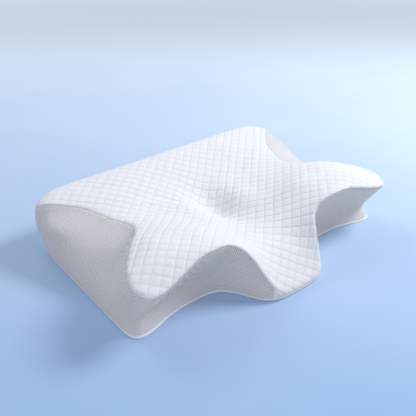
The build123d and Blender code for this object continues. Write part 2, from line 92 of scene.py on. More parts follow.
FRONT = [
    [(-255, -161.5), (-253, -154), (-251, -147.5), (-250, -149), (-250, -165),
     (-251, -183), (-252, -194), (-253, -199), (-253, -202)],
    [(-222, -152), (-221, -146), (-221, -141), (-220, -142), (-220, -156),
     (-220, -173), (-221, -184), (-221, -190), (-221, -193)],
    [(-185, -148), (-185, -143), (-185, -139), (-185, -140), (-185, -151),
     (-185, -166), (-185, -176), (-185, -181), (-185, -186)],
    [(-148, -148.5), (-148, -144.5), (-148, -141), (-148, -142), (-148, -152),
     (-147, -166), (-146, -175), (-145, -180), (-145, -185)],
    [(-120, -157), (-120, -153), (-120, -150), (-119, -151), (-117, -158),
     (-115, -168), (-112, -174), (-110, -178), (-110, -182)],
]
NOSE = [
    [(-104, -173), (-104, -169.5), (-104, -167), (-103, -168), (-101, -172.5),
     (-97, -178.5), (-93, -183), (-90, -186), (-87, -190)],
    [(-93, -192), (-93, -189.5), (-93, -188), (-92, -188), (-88.5, -190),
     (-84.5, -193), (-81, -197), (-78, -200), (-75, -204)],
    [(-83.5, -211), (-83.5, -208.5), (-82, -207), (-80.5, -206), (-76, -207),
     (-72.5, -212), (-70, -216), (-68, -219), (-66, -222)],
    [(-72, -227), (-71, -226), (-68, -226), (-66, -226), (-63, -229),
     (-61, -233), (-60, -236), (-59, -238), (-58, -240)],
    [(-55, -238), (-55, -239), (-54, -240), (-53, -241), (-51, -242),
     (-50, -244), (-50, -245), (-49, -246), (-49, -247)],
    [(-28, -243), (-28, -244.5), (-28, -245.5), (-28, -246), (-28, -247),
     (-28, -248), (-28, -249), (-28, -250), (-28, -251)],
    [(0, -244), (0, -245.5), (0, -246.5), (0, -247), (0, -248),
     (0, -249), (0, -250), (0, -251), (0, -252)],
]
STATIONS = [[(x, y) for y in BACK_Y] for x in BACK_X] + CORNER + END + WING + FRONT + NOSE

# Height of the top surface: a row for each y in TOP_Y, a column for each x in TOP_X.
TOP_X = [0.0, 45.0, 90.0, 135.0, 180.0, 225.0, 270.0, 315.0]
TOP_Y = [235.0, 205.0, 180.0, 150.0, 110.0, 70.0, 30.0, -10.0,
         -50.0, -90.0, -130.0, -165.0, -195.0, -220.0, -245.0, -270.0]
TOP_Z = [
    [48, 48, 48, 48, 48, 47, 42, 30],
    [103, 103, 103, 103, 103, 102.5, 98, 80],
    [114, 114, 114, 114, 114, 113, 109, 92],
    [110, 110, 111, 112, 112.5, 112, 109.5, 103],
    [97, 98, 102, 106, 108, 107, 103, 98],
    [77, 84, 90, 96, 101, 101, 97, 92],
    [52, 73, 83, 91, 98, 100.5, 98, 94],
    [45, 73, 84, 94, 103, 108, 106, 100],
    [57, 74, 87, 101, 112, 114, 107, 96],
    [66, 76, 94, 113, 122, 125, 113, 98],
    [69, 77, 98, 118, 124.5, 126, 118, 104],
    [65, 73, 99, 120, 125.5, 122, 114, 103],
    [52, 58, 91, 122, 120, 110.5, 102, 97],
    [33, 38, 66, 112, 112, 101, 92, 88],
    [13, 14, 40, 94, 100, 90, 80, 76],
    [-8, -7, 14, 72, 84, 76, 66, 62],
]
CENTRE = np.array([0.0, -20.0])         # plan point from which the top is swept outward

# ==================================== seams, quilt and zip ====================================
BAY_HALF = 236.0        # half width of the opening for the zip
CORNER_X = 296.0        # upright seam between back and side panel
NOSE_X = 57.0           # upright seam between side panel and nose
SEAM_DROP = 5.0         # the side seam lies this far down the wall from the rim
QUILT_PITCH = 17.2      # distance between quilting lines
QUILT_HEIGHT = 1.35     # height of the puffs
CELL_X, CELL_Y = 3.4, 2.7     # spacing of the holes in the air mesh

ZIP_Z = 16.2
RUN, RISE = BACK_Y[1] - BACK_Y[0], Z_LEVELS[1] - Z_LEVELS[0]
SLOPE = math.hypot(RUN, RISE)
ZIP_UP = np.array([0.0, RUN / SLOPE, RISE / SLOPE])     # up the slope at the foot of the back
ZIP_OUT = np.array([0.0, RISE / SLOPE, -RUN / SLOPE])   # out of the cover there
ZIP_ORIGIN = np.array([0.0, BACK_Y[0] + RUN / RISE * ZIP_Z, ZIP_Z])
BAY_TOP = ZIP_Z + 14.8 * RISE / SLOPE


# ===================================== surfaces as splines =====================================
def spline_rows(bends, left, right, spacing, to_right, from_left):
    """Cubic weights between nodes left and right, given the second-derivative matrix bends."""
    eye = np.eye(len(bends))
    s, u, v = spacing, to_right, from_left
    return (eye[left] * (u / s)[:, None] + eye[right] * (v / s)[:, None]
            + bends[left] * (u ** 3 / (6 * s) - s * u / 6)[:, None]
            + bends[right] * (v ** 3 / (6 * s) - s * v / 6)[:, None])


def natural_weights(nodes, q):
    """Natural cubic spline weights on the values at the nodes, one row per query."""
    nodes, q = np.asarray(nodes, float), np.asarray(q, float)
    n = len(nodes)
    h = np.diff(nodes)
    lhs, rhs = np.eye(n), np.zeros((n, n))
    for i in range(1, n - 1):
        lhs[i, i - 1:i + 2] = h[i - 1], 2 * (h[i - 1] + h[i]), h[i]
        rhs[i, i - 1:i + 2] = 6 / h[i - 1], -6 / h[i - 1] - 6 / h[i], 6 / h[i]
    j = np.clip(np.searchsorted(nodes, q) - 1, 0, n - 2)
    return spline_rows(np.linalg.solve(lhs, rhs), j, j + 1, h[j], nodes[j + 1] - q, q - nodes[j])


def loop_weights(nodes, q):
    """The same for a closed curve; the last node repeats the first after one full length."""
    n = len(nodes) - 1
    h = np.diff(nodes)
    lhs, rhs = np.zeros((n, n)), np.zeros((n, n))
    for i in range(n):
        before, after = (i - 1) % n, (i + 1) % n
        lhs[i, before] += h[before]
        lhs[i, i] += 2 * (h[before] + h[i])
        lhs[i, after] += h[i]
        rhs[i, before] += 6 / h[before]
        rhs[i, i] -= 6 / h[before] + 6 / h[i]
        rhs[i, after] += 6 / h[i]
    q = q % nodes[-1]
    j = np.clip(np.searchsorted(nodes, q, side="right") - 1, 0, n - 1)
    return spline_rows(np.linalg.solve(lhs, rhs), j, (j + 1) % n, h[j],
                       nodes[j + 1] - q, q - nodes[j])


def ring(level):
    """Whole outline at one height, anticlockwise seen from above."""
    left = [station[level] for station in STATIONS]
    right = [(-x, y) for x, y in left[-2:0:-1]]
    return [(float(x), float(y)) for x, y in left + right]


RINGS = np.array([ring(k) for k in range(len(Z_LEVELS))])     # level, station, (x, y)

# the distance round the outline at the middle level is the station coordinate u
MID_RING = RINGS[MID_LEVEL]
MID_STEPS = np.linalg.norm(np.roll(MID_RING, -1, 0) - MID_RING, axis=1)
U_NODES = np.concatenate([[0.0], np.cumsum(MID_STEPS)])
U_ALL = U_NODES[-1]


def wall(u, z, thickness=0.0):
    """Plan point of the wall at station u and height z, moved in by a cloth thickness."""
    u, z = np.broadcast_arrays(np.asarray(u, float), np.asarray(z, float))
    shape = u.shape
    u, z = u.ravel(), z.ravel()

    def blend(by_station, by_level):
        return np.einsum("qs,ql,lsc->qc", by_station, by_level, RINGS)

    level_w = natural_weights(Z_LEVELS, z)
    level_change = natural_weights(Z_LEVELS, z + 0.5) - natural_weights(Z_LEVELS, z - 0.5)
    station_w = loop_weights(U_NODES, u)
    station_change = loop_weights(U_NODES, u + 0.5) - loop_weights(U_NODES, u - 0.5)
    tangent = blend(station_change, level_w)
    lean = blend(station_w, level_change)
    tangent /= np.linalg.norm(tangent, axis=1)[:, None]
    inward = np.stack([-tangent[:, 1], tangent[:, 0]], 1)
    # a leaning wall needs a longer level step for the same thickness
    stretch = np.minimum(np.sqrt(1 + (lean * inward).sum(1) ** 2), 3.0)
    p = blend(station_w, level_w) + inward * (thickness * stretch)[:, None]
    return p.reshape(shape + (2,))


FULL_X = [-x for x in TOP_X[:0:-1]] + TOP_X
FULL_Z = [[float(z) for z in row[:0:-1] + row] for row in TOP_Z]
TOP_UP_Y = np.array(TOP_Y[::-1])
TOP_GRID = np.array(FULL_Z[::-1])


def top(x, y):
    """Height of the top at plan points."""
    z = np.einsum("qx,qy,yx->q", natural_weights(FULL_X, x.ravel()),
                  natural_weights(TOP_UP_Y, y.ravel()), TOP_GRID)
    return z.reshape(x.shape)


def rim(u):
    """Height at which the wall meets the top, for each station, by bisection."""
    lo, hi = np.zeros_like(u), np.full_like(u, Z_LEVELS[-1])
    for _ in range(26):
        mid = (lo + hi) / 2
        p = wall(u, mid)
        under = top(p[:, 0], p[:, 1]) > mid
        lo, hi = np.where(under, mid, lo), np.where(under, hi, mid)
    return (lo + hi) / 2


def station_at(x, lo, hi):
    """Station between lo and hi where the middle outline comes nearest to x."""
    u = np.linspace(lo, hi, 2001)
    p = wall(u, Z_LEVELS[MID_LEVEL])
    return float(u[np.argmin(abs(p[:, 0] - x))])


U_MID = float(U_NODES[len(STATIONS) - 1])
U_BAY = station_at(-BAY_HALF, 0.0, 280.0)
U_CORNER = station_at(-CORNER_X, U_BAY, 340.0)
U_NOSE = station_at(-NOSE_X, U_MID - 110.0, U_MID)
UPRIGHT_SEAMS = (U_CORNER, U_NOSE, U_ALL - U_NOSE, U_ALL - U_CORNER)


def smoothstep(x):
    x = np.clip(x, 0, 1)
    return x * x * (3 - 2 * x)


class Meridian:
    """Profiles from the centre over the rim and down the wall.

    s is the distance past the rim, negative on the top; arrays of s are station by row.
    """
    CAP_POINTS = 260
    WALL_POINTS = 150
    FOOT_Z = -8.0
    TAPS = np.arange(-10, 11)       # smoothing samples along the profile
    TAP_STEP = 1.3
    SIGMA = 5.0
    CENTRE_FADE = 60.0              # smoothing fades in over this distance from the centre

    def __init__(self, u):
        rim_z = rim(u)
        self.edge = wall(u, rim_z)
        r = np.linspace(0, 1, self.CAP_POINTS)
        xy = CENTRE + (self.edge - CENTRE)[:, None, :] * r[None, :, None]
        cap = np.concatenate([xy, top(xy[..., 0], xy[..., 1])[..., None]], 2)
        cap[:, -1, 2] = rim_z
        down = np.linspace(0, 1, self.WALL_POINTS)[1:]
        wall_z = rim_z[:, None] + (self.FOOT_Z - rim_z[:, None]) * down
        side = np.concatenate([wall(u[:, None], wall_z), wall_z[..., None]], 2)
        self.line = np.concatenate([cap, side], 1)
        steps = np.linalg.norm(np.diff(self.line, axis=1), axis=2)
        arc = np.concatenate([np.zeros((len(u), 1)), np.cumsum(steps, 1)], 1)
        self.arc = arc - arc[:, self.CAP_POINTS - 1][:, None]

    def raw(self, s):
        res = np.empty(s.shape + (3,))
        for i in range(len(s)):
            for c in range(3):
                res[i, :, c] = np.interp(s[i], self.arc[i], self.line[i, :, c])
        return res

    def smooth(self, s):
        """Points with the fold at the rim rounded off."""
        weights = np.exp(-0.5 * (self.TAPS * self.TAP_STEP / self.SIGMA) ** 2)
        weights /= weights.sum()
        rounded = sum(w * self.raw(s + k * self.TAP_STEP) for w, k in zip(weights, self.TAPS))
        plain = self.raw(s)
        mix = smoothstep((s - self.arc[:, 0][:, None]) / self.CENTRE_FADE)[..., None]
        return plain + (rounded - plain) * mix

    def s_of_z(self, z):
        """Distance past the rim at which the wall comes down to height z."""
        start = self.CAP_POINTS - 1
        return np.array([np.interp(-z, -line[start:, 2], arc[start:])
                         for line, arc in zip(self.line, self.arc)])


def grid_normals(p, closed):
    du = np.roll(p, -1, 0) - np.roll(p, 1, 0) if closed else np.gradient(p, axis=0)
    n = np.cross(np.gradient(p, axis=1), du)
    return n / np.maximum(np.linalg.norm(n, axis=2, keepdims=True), 1e-9)


def fractal(x, y, seed, octaves, scale):
    """Smooth repeatable unevenness built from sines."""
    rng = np.random.default_rng(seed)
    out = np.zeros_like(x)
    amp = 1.0
    for _ in range(octaves):
        for _wave in range(3):
            angle = rng.uniform(0, TURN)
            phase = rng.uniform(0, TURN)
            across = x * math.cos(angle) + y * math.sin(angle)
            out += amp * np.sin(across * scale + phase) / 3
        scale *= 2.03
        amp *= 0.55
    return out


# ---- length of the cloth over the slopes, measured along y from the centre ----
GRID_X = np.linspace(-330, 330, 133)
GRID_Y = np.linspace(-262, 226, 245)


def cloth_table():
    z = top(*np.meshgrid(GRID_X, GRID_Y, indexing="ij"))
    step = np.sqrt(1 + np.gradient(z, GRID_Y, axis=1) ** 2) * (GRID_Y[1] - GRID_Y[0])
    length = np.cumsum(step, 1)
    length = length - length[:, np.argmin(abs(GRID_Y - CENTRE[1]))][:, None]
    # the cloth does not follow every hollow exactly, so its threads run smoother than the shape
    for _ in range(160):
        length[1:-1] = (length[:-2] + 2 * length[1:-1] + length[2:]) / 4
    return length


CLOTH = cloth_table()


def cloth_length(x, y):
    fx = np.clip((x - GRID_X[0]) / (GRID_X[1] - GRID_X[0]), 0, len(GRID_X) - 1.001)
    fy = np.clip((y - GRID_Y[0]) / (GRID_Y[1] - GRID_Y[0]), 0, len(GRID_Y) - 1.001)
    i, j = fx.astype(int), fy.astype(int)
    a, b = fx - i, fy - j
    return (CLOTH[i, j] * (1 - a) * (1 - b) + CLOTH[i + 1, j] * a * (1 - b)
            + CLOTH[i, j + 1] * (1 - a) * b + CLOTH[i + 1, j + 1] * a * b)


def quilting(x, y):
    """Puff profile, 0 on the diagonal stitch lines and 1 between them."""
    sharpness = 3.4
    puff = 1.0
    for diagonal in (x + y, x - y):
        line = abs(np.sin(math.pi * diagonal / (math.sqrt(2) * QUILT_PITCH)))
        puff = puff * (1 - (1 - line) ** sharpness)
    return puff


# ======================================== mesh helpers ========================================
def make_object(name, verts, faces, uv=None):
    """Smooth-shaded object from millimetre points, with a "cloth" UV map if uv is given."""
    mesh = bpy.data.meshes.new(name)
    points = (np.asarray(verts) * MM).tolist()
    mesh.from_pydata([tuple(v) for v in points], [], [tuple(f) for f in faces])
    mesh.update()
    if uv is not None:
        layer = mesh.uv_layers.new(name="cloth")
        idx = np.empty(len(mesh.loops), dtype=np.int32)
        mesh.loops.foreach_get("vertex_index", idx)
        layer.data.foreach_set("uv", (np.asarray(uv)[idx] * MM).astype(np.float32).ravel())
    mesh.polygons.foreach_set("use_smooth", [True] * len(mesh.polygons))
    ob = bpy.data.objects.new(name, mesh)
    bpy.context.scene.collection.objects.link(ob)
    return ob


def face_outward(ob):
    bm = bmesh.new()
    bm.from_mesh(ob.data)
    bmesh.ops.recalc_face_normals(bm, faces=bm.faces)
    bm.to_mesh(ob.data)
    bm.free()


def wear(ob, material):
    ob.data.materials.clear()
    ob.data.materials.append(material)


def register(ob, material, slot, *cad_names):
    """Dress a piece, hide the CAD pieces it stands for, and attach it to the cushion body."""
    wear(ob, material)
    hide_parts(*cad_names)
    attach(ob, "cushion")


def tube_faces(rings, sides, closed):
    faces = []
    for i in range(rings if closed else rings - 1):
        k = (i + 1) % rings
        for j in range(sides):
            m = (j + 1) % sides
            faces.append([i * sides + j, i * sides + m, k * sides + m, k * sides + j])
    return faces


def two_layer_faces(rows, cols):
    """Faces of a thin slab: two grids of rows by cols, one after the other, joined all round."""
    off = rows * cols
    faces = []
    for i in range(rows - 1):
        for j in range(cols - 1):
            a = i * cols + j
            faces.append([a, a + 1, a + cols + 1, a + cols])
            faces.append([off + a, off + a + cols, off + a + cols + 1, off + a + 1])
    for i in range(rows - 1):
        for j in (0, cols - 1):
            a = i * cols + j
            faces.append([a, a + cols, off + a + cols, off + a])
    for j in range(cols - 1):
        for i in (0, rows - 1):
            a = i * cols + j
            faces.append([a, a + 1, off + a + 1, off + a])
    return faces


def grid_object(name, p, uv, closed, keep, hem, pole=False):
    """Object from a station-by-row grid, using the cells in keep; open edges turn in by hem.

    With pole, the first row is gathered into one point.
    """
    n, m = p.shape[:2]
    normals = grid_normals(p, closed)
    cells = [(i, (i + 1) % n, j) for i in range(n if closed else n - 1)
             for j in range(m - 1) if keep[i, j]]
    used = np.zeros((n, m), bool)
    for i, k, j in cells:
        used[i, j] = used[k, j] = used[i, j + 1] = used[k, j + 1] = True
    if pole:
        used[:, 0] = False
    index = -np.ones((n, m), dtype=int)
    rows, cols = np.nonzero(used)
    index[rows, cols] = np.arange(len(rows))
    verts, uvs, normals = p[rows, cols], uv[rows, cols], normals[rows, cols]
    if pole:
        index[:, 0] = len(verts)
        verts = np.vstack([verts, p[:, 0].mean(0)])
        uvs = np.vstack([uvs, uv[:, 0].mean(0)])
        normals = np.vstack([normals, (0, 0, 1)])
    faces = []
    edges = {}      # a dict keeps the edges in order
    for i, k, j in cells:
        a, b = int(index[i, j]), int(index[k, j])
        c, d = int(index[k, j + 1]), int(index[i, j + 1])
        loop = [a, d, c] if pole and j == 0 else [a, d, c, b]
        faces.append(loop)
        for q in range(len(loop)):
            edges[(loop[q], loop[(q + 1) % len(loop)])] = True
    border = [e for e in edges if (e[1], e[0]) not in edges]
    border_verts = sorted({v for e in border for v in e})
    base = len(verts)
    extra, extra_uv = [], []
    hem_index = {}
    for fraction in (0.35, 1.0):
        q = 0 if fraction < 1 else 1
        for v in border_verts:
            hem_index[(v, q)] = base + len(extra)
            extra.append(verts[v] - normals[v] * hem * fraction)
            extra_uv.append(uvs[v])
    for a, b in border:
        a0, b0 = hem_index[(a, 0)], hem_index[(b, 0)]
        faces.append([b, a, a0, b0])
        faces.append([b0, a0, hem_index[(a, 1)], hem_index[(b, 1)]])
    return make_object(name, np.vstack([verts, extra]), faces, np.vstack([uvs, extra_uv]))


# ========================================= materials =========================================
class Shader:
    """A new material, with short methods that add nodes and return their output sockets."""

    def __init__(self, name):
        self.material = bpy.data.materials.new(name)
        self.material.use_nodes = True
        self.tree = self.material.node_tree
        self.tree.nodes.clear()
        self.output = self.add_node("ShaderNodeOutputMaterial")
        self.bsdf = self.add_node("ShaderNodeBsdfPrincipled")
        self.feed(self.output.inputs[0], self.bsdf.outputs[0])

    def add_node(self, kind, **settings):
        node = self.tree.nodes.new(kind)
        for key, value in settings.items():
            setattr(node, key, value)
        return node

    def feed(self, socket, value):
        """Link a socket into an input, or set the input to a plain value."""
        if isinstance(value, bpy.types.NodeSocket):
            self.tree.links.new(value, socket)
        else:
            socket.default_value = value

    def surface(self, **values):
        """Set inputs of the surface; Base_Color stands for "Base Color"."""
        for key, value in values.items():
            self.feed(self.bsdf.inputs[key.replace("_", " ")], value)

    def math(self, operation, a, b=None, clamp=False):
        node = self.add_node("ShaderNodeMath", operation=operation, use_clamp=clamp)
        self.feed(node.inputs[0], a)
        if b is not None:
            self.feed(node.inputs[1], b)
        return node.outputs[0]

    def add(self, a, b, clamp=False):
        return self.math("ADD", a, b, clamp)

    def sub(self, a, b, clamp=False):
        return self.math("SUBTRACT", a, b, clamp)

    def mul(self, a, b, clamp=False):
        return self.math("MULTIPLY", a, b, clamp)

    def sine(self, a):
        return self.math("SINE", a)

    def remap(self, a, gain, offset, clamp=False):
        return self.add(self.mul(a, gain), offset, clamp)

    def blend(self, a, weight_a, b, weight_b):
        return self.add(self.mul(a, weight_a), self.mul(b, weight_b))

    def mix(self, factor, a, b):
        node = self.add_node("ShaderNodeMix", data_type="RGBA")
        for slot, value in ((0, factor), (6, a), (7, b)):
            self.feed(node.inputs[slot], value)
        return node.outputs[2]

    def noise(self, vector, scale, detail=2.0):
        node = self.add_node("ShaderNodeTexNoise")
        node.inputs["Scale"].default_value = scale
        node.inputs["Detail"].default_value = detail
        self.feed(node.inputs["Vector"], vector)
        return node.outputs[0]

    def bump(self, height, strength, distance, under=None):
        """Bump the surface, on top of an earlier bump if given; distance is in metres."""
        node = self.add_node("ShaderNodeBump")
        node.inputs["Strength"].default_value = strength
        node.inputs["Distance"].default_value = distance
        self.feed(node.inputs["Height"], height)
        if under is not None:
            self.feed(node.inputs["Normal"], under)
        self.feed(self.bsdf.inputs["Normal"], node.outputs[0])
        return node.outputs[0]

    def uv_axes(self, per_metre_x, per_metre_y):
        """Both cloth coordinates, scaled, and the unscaled vector."""
        uv = self.add_node("ShaderNodeUVMap", uv_map="cloth").outputs[0]
        split = self.add_node("ShaderNodeSeparateXYZ")
        self.feed(split.inputs[0], uv)
        return (self.mul(split.outputs[0], per_metre_x),
                self.mul(split.outputs[1], per_metre_y), uv)


def paint_groove_shade(shader, colour):
    """Paint shade into the quilting grooves, broken into stitch-length dashes; returns the colour
    and the two sets of grooves.
    """
    groove_shade_colour = (0.60, 0.64, 0.76, 1.0)
    groove_sharpness = 5.0
    shading = 0.26
    stitch_length = 0.0034      # metres
    fx, fy, _uv = shader.uv_axes(1.0, 1.0)
    lines_per_metre = 1.0 / (math.sqrt(2) * QUILT_PITCH * MM)
    sewn = []
    for sign in (1.0, -1.0):
        across = shader.mul(shader.add(fx, shader.mul(fy, sign)), lines_per_metre * math.pi)
        line = shader.math("ABSOLUTE", shader.sine(across))
        groove = shader.sub(1.0, shader.mul(line, groove_sharpness), clamp=True)
        sewn.append(shader.math("POWER", groove, 1.6))
        along = shader.mul(shader.sub(fx, shader.mul(fy, sign)),
                           TURN / (stitch_length * math.sqrt(2)))
        dash = shader.remap(shader.sine(along), gain=0.22, offset=0.78)
        strength = shader.mul(shader.mul(groove, dash), shading)
        # painted shade: the groove is mixed toward the bluish groove shade colour, in
        # stitch-length dashes
        colour = shader.mix(strength, colour, groove_shade_colour)
    return colour, sewn


def knit_material(name, light, shade, loops_per_metre=1100.0, quilted=False):
    """Fine knitted cloth: rows of tiny loops, soft sheen, faint unevenness."""
    shader = Shader(name)
    gx, gy, uv = shader.uv_axes(loops_per_metre * TURN, loops_per_metre * TURN * 0.7)
    wobble = shader.noise(uv, scale=260.0, detail=3.0)
    wave = shader.mul(shader.sub(wobble, 0.5), 5.0)     # up to 2.5 radians out of line
    loops = shader.mul(shader.sine(shader.add(gx, wave)), shader.sine(shader.add(gy, wave)))
    loops = shader.remap(loops, gain=0.5, offset=0.5)
    patches = shader.noise(uv, scale=22.0, detail=4.0)
    tone = shader.blend(loops, 0.30, patches, 0.7)
    colour = shader.mix(tone, shade, light)
    # quilted cloth gets painted shade along its grooves
    if quilted:
        colour, sewn = paint_groove_shade(shader, colour)
    shader.surface(Base_Color=colour, Roughness=shader.remap(loops, gain=0.1, offset=0.8),
                   Sheen_Weight=0.25, Sheen_Roughness=0.5, Specular_IOR_Level=0.25)
    relief = shader.bump(loops, strength=0.30, distance=0.00025)
    fuzz = shader.noise(uv, scale=900.0, detail=2.0)
    relief = shader.bump(fuzz, strength=0.15, distance=0.0003, under=relief)
    if quilted:
        flat = shader.sub(1.0, shader.math("MAXIMUM", sewn[0], sewn[1]))
        shader.bump(flat, strength=0.42, distance=0.0010, under=relief)
    return shader.material


def mesh_material(name, yarn, hole_shade, dark):
    """Spacer mesh: staggered open cells between plump yarns, with painted shade in the open
    cells.
    """
    hole_radius = 0.34          # in cells
    edge_sharpness = 9.0
    x_squeeze = 1.15            # narrows the holes along x
    shader = Shader(name)
    gx, gy, uv = shader.uv_axes(1000.0 / CELL_X, 1000.0 / CELL_Y)
    row = shader.math("FLOOR", gy)
    shift = shader.mul(shader.math("MODULO", row, 2.0), 0.5)
    cx = shader.sub(shader.math("FRACT", shader.add(gx, shift)), 0.5)
    cy = shader.sub(shader.math("FRACT", gy), 0.5)
    squared_x = shader.math("POWER", shader.math("ABSOLUTE", shader.mul(cx, x_squeeze)), 2.0)
    squared_y = shader.math("POWER", shader.math("ABSOLUTE", cy), 2.0)
    radius = shader.math("SQRT", shader.add(squared_x, squared_y))
    opening = shader.mul(shader.sub(hole_radius, radius), edge_sharpness, clamp=True)
    fleck = shader.noise(uv, scale=420.0, detail=2.0)
    patches = shader.noise(uv, scale=16.0, detail=3.0)
    base = shader.mix(shader.blend(fleck, 0.75, patches, 0.25), dark, yarn)
    # how open the cells look varies gently over the cloth
    vary = shader.remap(patches, gain=0.9, offset=0.35, clamp=True)
    # painted shade: the open cells are darkened toward the hole shade colour
    colour = shader.mix(shader.mul(opening, vary), base, hole_shade)
    shader.surface(Base_Color=colour, Roughness=0.85, Sheen_Weight=0.15,
                   Specular_IOR_Level=0.3)
    relief = shader.bump(shader.sub(1.0, opening), strength=0.6, distance=0.0006)
    shader.bump(fleck, strength=0.3, distance=0.0003, under=relief)
    return shader.material


def plain_weave(name, light, shade, pitch, sheen=0.1, rough=0.8):
    """Woven tape or cloth, over and under threads, from object coordinates."""
    shader = Shader(name)
    place = shader.add_node("ShaderNodeTexCoord").outputs["Object"]
    split = shader.add_node("ShaderNodeSeparateXYZ")
    shader.feed(split.inputs[0], place)
    threads = TURN / (pitch * MM)
    warp = shader.sine(shader.mul(split.outputs[0], threads))
    yz = shader.add(split.outputs[1], split.outputs[2])
    weft = shader.sine(shader.mul(yz, threads))
    weave = shader.remap(shader.mul(warp, weft), gain=0.5, offset=0.5)
    patches = shader.noise(place, scale=60.0)
    tone = shader.blend(weave, 0.4, patches, 0.6)
    shader.surface(Base_Color=shader.mix(tone, shade, light), Roughness=rough,
                   Sheen_Weight=sheen, Specular_IOR_Level=0.3)
    shader.bump(weave, strength=0.5, distance=0.0002)
    return shader.material


def enamel(name, colour, metal=0.0, rough=0.32):
    """Smooth hard skin with slight mottling in colour, roughness and height."""
    shader = Shader(name)
    place = shader.add_node("ShaderNodeTexCoord").outputs["Object"]
    mottle = shader.noise(place, scale=300.0, detail=4.0)
    worn = tuple(c * 0.82 for c in colour[:3]) + (1.0,)
    shader.surface(Base_Color=shader.mix(mottle, worn, colour),
                   Roughness=shader.remap(mottle, gain=0.2, offset=rough - 0.1),
                   Metallic=metal)
    shader.bump(mottle, strength=0.12, distance=0.0002)
    return shader.material


QUILT_KNIT = knit_material("white_quilted_knit", light=(0.88, 0.89, 0.93, 1),
                           shade=(0.80, 0.82, 0.89, 1), quilted=True)
AIR_MESH = mesh_material("grey_air_mesh", yarn=(0.95, 0.95, 0.98, 1),
                         hole_shade=(0.19, 0.19, 0.21, 1), dark=(0.68, 0.68, 0.71, 1))
BINDING = plain_weave("white_binding_weave", light=(0.93, 0.94, 0.96, 1),
                      shade=(0.84, 0.86, 0.90, 1), pitch=0.9, sheen=0.2)
BOTTOM_KNIT = knit_material("white_bottom_knit", light=(0.84, 0.85, 0.88, 1),
                            shade=(0.72, 0.74, 0.79, 1), loops_per_metre=700.0)
TAPE = plain_weave("zip_tape_weave", light=(0.80, 0.82, 0.86, 1),
                   shade=(0.62, 0.64, 0.69, 1), pitch=0.8)
NYLON = enamel("zip_nylon", (0.78, 0.80, 0.84, 1), rough=0.42)
METAL = enamel("zip_enamel", (0.76, 0.78, 0.82, 1), metal=0.55, rough=0.30)
SATIN = plain_weave("label_satin", light=(0.90, 0.90, 0.92, 1),
                    shade=(0.82, 0.83, 0.86, 1), pitch=0.3, sheen=0.5, rough=0.4)
LINER = plain_weave("inner_case_knit", light=(0.90, 0.90, 0.92, 1),
                    shade=(0.80, 0.80, 0.83, 1), pitch=1.2)
FOAM = enamel("memory_foam_skin", (0.90, 0.86, 0.74, 1), rough=0.9)


# ====================================== quilted top cover ======================================
U_SLACK = 1e-6      # tolerance when a station lies on a seam


def in_back(u):
    return (u <= U_CORNER + U_SLACK) | (u >= U_ALL - U_CORNER - U_SLACK)


def in_bay(u):
    return (u < U_BAY - U_SLACK) | (u > U_ALL - U_BAY + U_SLACK)


def in_nose(u):
    return (u >= U_NOSE - U_SLACK) & (u <= U_ALL - U_NOSE + U_SLACK)


def cover_stations():
    """Even stations round the outline, with the nearest one moved onto each seam."""
    count = 720
    u = np.arange(count) * (U_ALL / count)
    for mark in (U_BAY, U_ALL - U_BAY) + UPRIGHT_SEAMS:
        u[np.argmin(abs(u - mark))] = mark
    return u


def cover_cloth(mer, s, points, back, nose):
    """Cloth coordinates of the cover, unrolled down the walls."""
    along = np.roll(mer.edge, -1, 0) - np.roll(mer.edge, 1, 0)
    along /= np.linalg.norm(along, axis=1)[:, None]
    out_x, out_y = along[:, 1][:, None], -along[:, 0][:, None]
    past = np.maximum(s, 0)
    on_top = mer.raw(np.minimum(s, 0))
    length = cloth_length(on_top[..., 0], on_top[..., 1])
    cloth_x = np.where(back | nose, points[..., 0], on_top[..., 0] + out_x * past)
    cloth_y = np.where(back, length + past, np.where(nose, length - past, length + out_y * past))
    return np.stack([cloth_x, cloth_y], 2)


def cover_height(u, s, cloth, low_gap, wrapped):
    """How far the cover stands off the plain shape: puffs, soft folds and sunk seams."""
    far = 1e3
    seam_gap = np.where(wrapped, far, abs(SEAM_DROP - s))
    upright_gap = np.min([abs(u - mark) for mark in UPRIGHT_SEAMS], axis=0)
    upright_gap = np.where(s > 0, upright_gap, np.hypot(upright_gap, s))
    low_gap = np.where(wrapped, low_gap, far)
    gap = np.minimum(np.minimum(seam_gap, upright_gap), np.maximum(low_gap, 0))
    x, y = cloth[..., 0], cloth[..., 1]
    fade = smoothstep(gap / 9.0)
    soft = fractal(x, y, 11, 3, 0.018) * 0.9 + fractal(x, y, 12, 3, 0.09) * 0.25
    height = QUILT_HEIGHT * (quilting(x, y) - 0.35) * fade + soft * 0.5 * fade + 0.5
    # gathered ripples where the cloth is sewn down
    phase = u * TURN / 11.0 + fractal(u, s, 5, 2, 0.05) * 2.0
    height += np.sin(phase) * 0.35 * np.exp(-((gap - 5) / 5.0) ** 2)
    height -= 1.3 * np.exp(-(gap / 1.7) ** 2)
    return height


